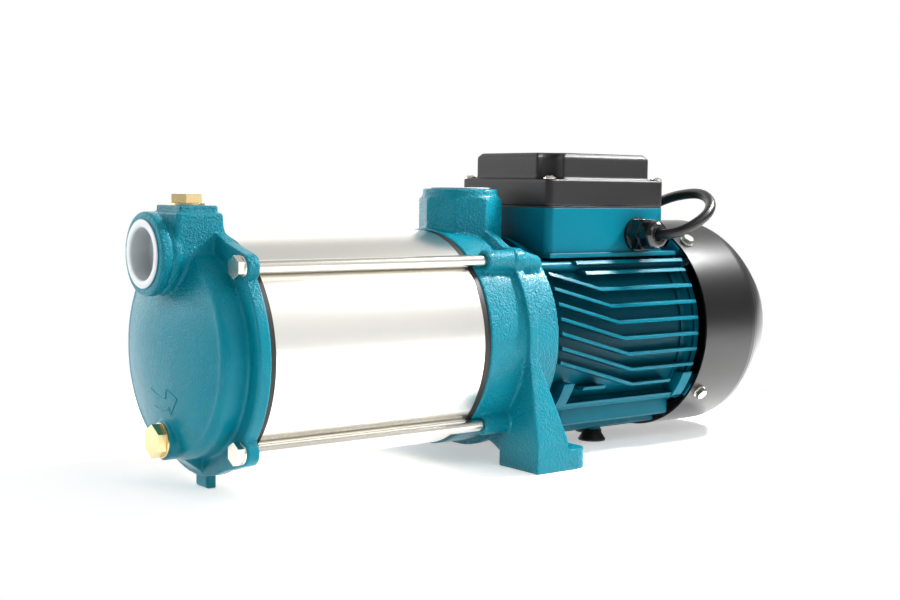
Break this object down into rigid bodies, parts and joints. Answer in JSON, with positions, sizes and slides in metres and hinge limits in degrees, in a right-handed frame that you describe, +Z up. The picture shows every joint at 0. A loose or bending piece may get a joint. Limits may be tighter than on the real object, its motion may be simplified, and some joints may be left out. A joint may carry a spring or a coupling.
{
  "type": "horizontal multistage pump",
  "caption": "Horizontal multistage water pump: cast suction head, steel barrel held by tie bolts, cast bracket with feet and discharge port, finned motor, terminal box, fan cover and cord",
  "frame": {"origin": "On the floor, at the centre of the pattern of the two foot bolt holes", "axes": "+X along the shaft from the inlet to the fan, +Y across the feet, +Z up"},
  "size_m": [0.4725, 0.3005, 0.2003],
  "materials": {
    "cast_enamel": "teal enamel over sand-cast iron",
    "aluminium_enamel": "glossy teal enamel over die-cast aluminium",
    "stainless": "satin stainless steel",
    "plated_steel": "bright zinc-plated steel",
    "bearing_steel": "ground steel",
    "core_steel": "stacked electrical steel",
    "cast_aluminium": "as cast",
    "copper_wire": "varnished copper wire",
    "brass": "machined brass",
    "pale_fibre": "pale sealing washer",
    "black_rubber": "black rubber",
    "black_sheet": "semi-gloss black paint on pressed sheet",
    "black_plastic": "fine-grained black plastic",
    "gloss_black": "smooth black nylon",
    "cord_black": "smooth black cord sheath and moulded plug",
    "pale_plastic": "pale moulded plastic",
    "white_plastic": "thin white polyethylene",
    "seal_ceramic": "lapped ceramic",
    "seal_carbon": "lapped carbon"
  },
  "bodies": {
    "pump": {"suction_head": "cast_enamel", "bracket": "cast_enamel", "barrel": "stainless", "front_gasket": "black_rubber", "rear_gasket": "black_rubber", "inlet_plate": "stainless", "diffuser_1": "stainless", "diffuser_2": "stainless", "diffuser_3": "stainless", "diffuser_4": "stainless", "diffuser_5": "stainless", "tie_bolts": "plated_steel", "tie_washers": "plated_steel", "filler_plug": "brass", "drain_plug": "brass", "plug_washers": "pale_fibre", "motor_housing": "aluminium_enamel", "stator_core": "core_steel", "stator_windings": "copper_wire", "rear_endshield": "aluminium_enamel", "motor_bolts": "plated_steel", "fan_cover": "black_sheet", "cover_screws": "plated_steel", "terminal_lid": "black_plastic", "lid_gasket": "black_rubber", "lid_screws": "plated_steel", "terminal_block": "pale_plastic", "terminal_studs": "brass", "capacitor": "pale_plastic", "cable_gland": "gloss_black", "gland_nut": "gloss_black", "gland_seal": "black_rubber", "gland_locknut": "gloss_black", "rear_feet": "black_rubber", "seal_seat": "seal_ceramic", "wave_spring": "plated_steel", "front_bearing_outer": "bearing_steel", "rear_bearing_outer": "bearing_steel", "cord_tube": "cord_black", "cord_coil": "cord_black", "cord_plug": "cord_black", "plug_pins": "plated_steel"},
    "rotor": {"shaft": "bearing_steel", "impeller_1": "stainless", "impeller_2": "stainless", "impeller_3": "stainless", "impeller_4": "stainless", "impeller_5": "stainless", "shaft_nut": "plated_steel", "seal_ring": "seal_carbon", "seal_spring": "plated_steel", "slinger": "black_rubber", "rotor_core": "core_steel", "cage_rings": "cast_aluminium", "front_bearing_inner": "bearing_steel", "rear_bearing_inner": "bearing_steel", "fan": "gloss_black", "fan_circlip": "plated_steel"},
    "inlet_cap": {"inlet_cap": "white_plastic"},
    "discharge_cap": {"discharge_cap": "white_plastic"}
  },
  "joints": [
    {"name": "rotor_spin", "type": "hinge", "parent": "pump", "child": "rotor", "pos_m": [0, 0, 0.08], "axis": [1, 0, 0], "continuous": true},
    {"name": "inlet_cap_pull", "type": "slide", "parent": "pump", "child": "inlet_cap", "axis": [-1, 0, 0], "range_m": [0, 0.06]},
    {"name": "discharge_cap_pull", "type": "slide", "parent": "pump", "child": "discharge_cap", "axis": [0, 0, 1], "range_m": [0, 0.06]}
  ]
}
